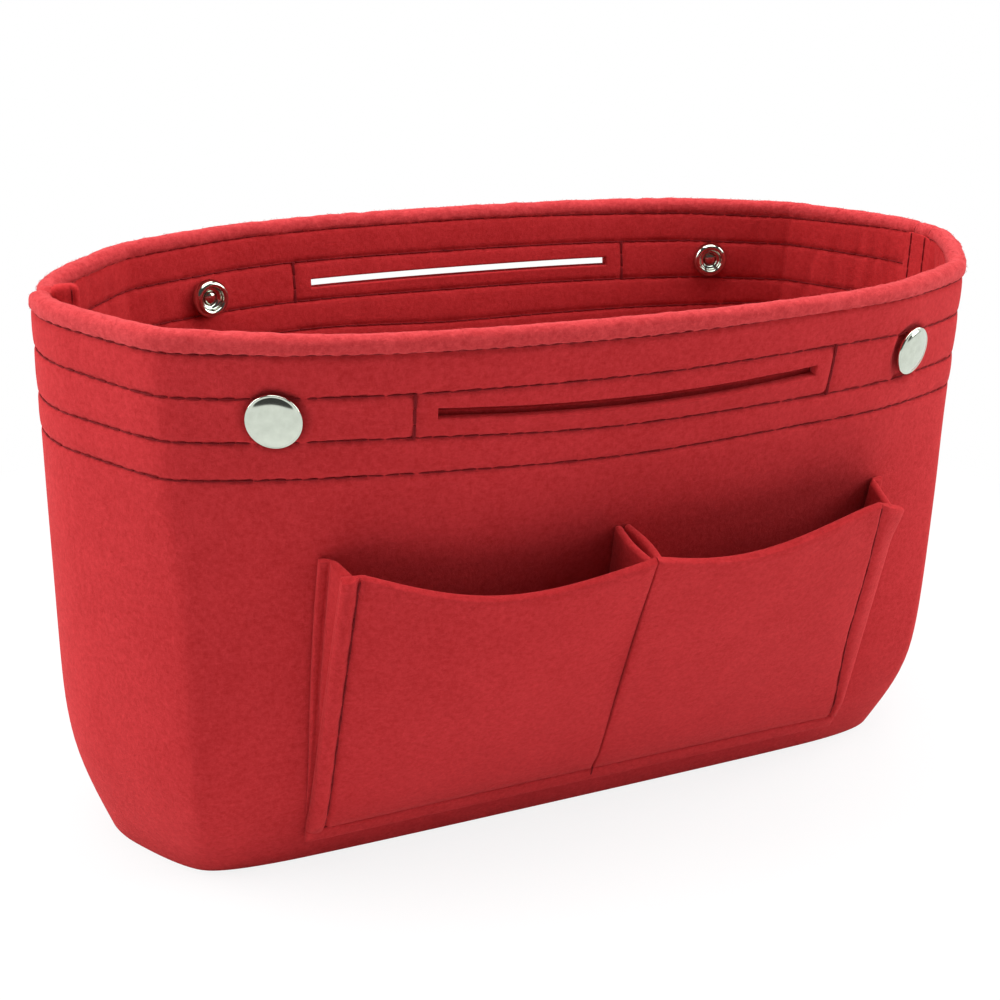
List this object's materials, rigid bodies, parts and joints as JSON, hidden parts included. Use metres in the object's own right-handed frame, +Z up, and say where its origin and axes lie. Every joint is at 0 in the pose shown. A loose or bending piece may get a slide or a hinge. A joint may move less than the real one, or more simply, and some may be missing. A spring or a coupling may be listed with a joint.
{
  "type": "purse organizer insert",
  "caption": "Open oval tub of thick red felt that stands inside a handbag, with a rolled rim, hand slots, bellows front pockets, inner slip pockets and nickel press studs.",
  "frame": {"origin": "middle of the base, on the surface that the insert stands on", "axes": "+X along the length, -Y out of the front with the bellows pockets, +Z up out of the open top"},
  "size_m": [0.2954, 0.1574, 0.1699],
  "materials": {
    "red_felt": "needled felt, matt, with a fine nap and dark red stitching",
    "inner_felt": "the same felt on the inside, slightly deeper in colour",
    "nickel": "polished nickel plate"
  },
  "bodies": {
    "tub": {"front_panel": "red_felt", "back_panel": "red_felt", "front_facing": "inner_felt", "back_facing": "inner_felt", "base_panel": "inner_felt", "rim_fold": "red_felt", "seam_allowance_left": "inner_felt", "seam_allowance_right": "inner_felt", "slip_pocket_back": "inner_felt", "slip_pocket_front": "inner_felt", "pocket_hem": "red_felt", "gusset_left": "red_felt", "gusset_right": "red_felt", "pleat_left": "red_felt", "pleat_right": "red_felt", "snap_cap_front_left": "nickel", "snap_cap_front_right": "nickel", "snap_cap_back_left": "nickel", "snap_cap_back_right": "nickel", "snap_stud_left": "nickel", "snap_stud_right": "nickel", "snap_socket_left": "nickel", "snap_socket_right": "nickel"},
    "left_pocket": {"pocket_front_left": "red_felt"},
    "right_pocket": {"pocket_front_right": "red_felt"}
  },
  "joints": [
    {"name": "left_pocket_open", "type": "hinge", "parent": "tub", "child": "left_pocket", "pos_m": [-0.041, -0.0482, 0.018], "axis": [1, 0, 0], "range_deg": [-5, 8], "stiffness_Nm_per_rad": 0.1, "deforming": ["gusset_left", "pleat_left"]},
    {"name": "right_pocket_open", "type": "hinge", "parent": "tub", "child": "right_pocket", "pos_m": [0.0488, -0.0482, 0.018], "axis": [1, 0, 0], "range_deg": [-5, 8], "stiffness_Nm_per_rad": 0.1, "deforming": ["gusset_right", "pleat_right"]}
  ]
}
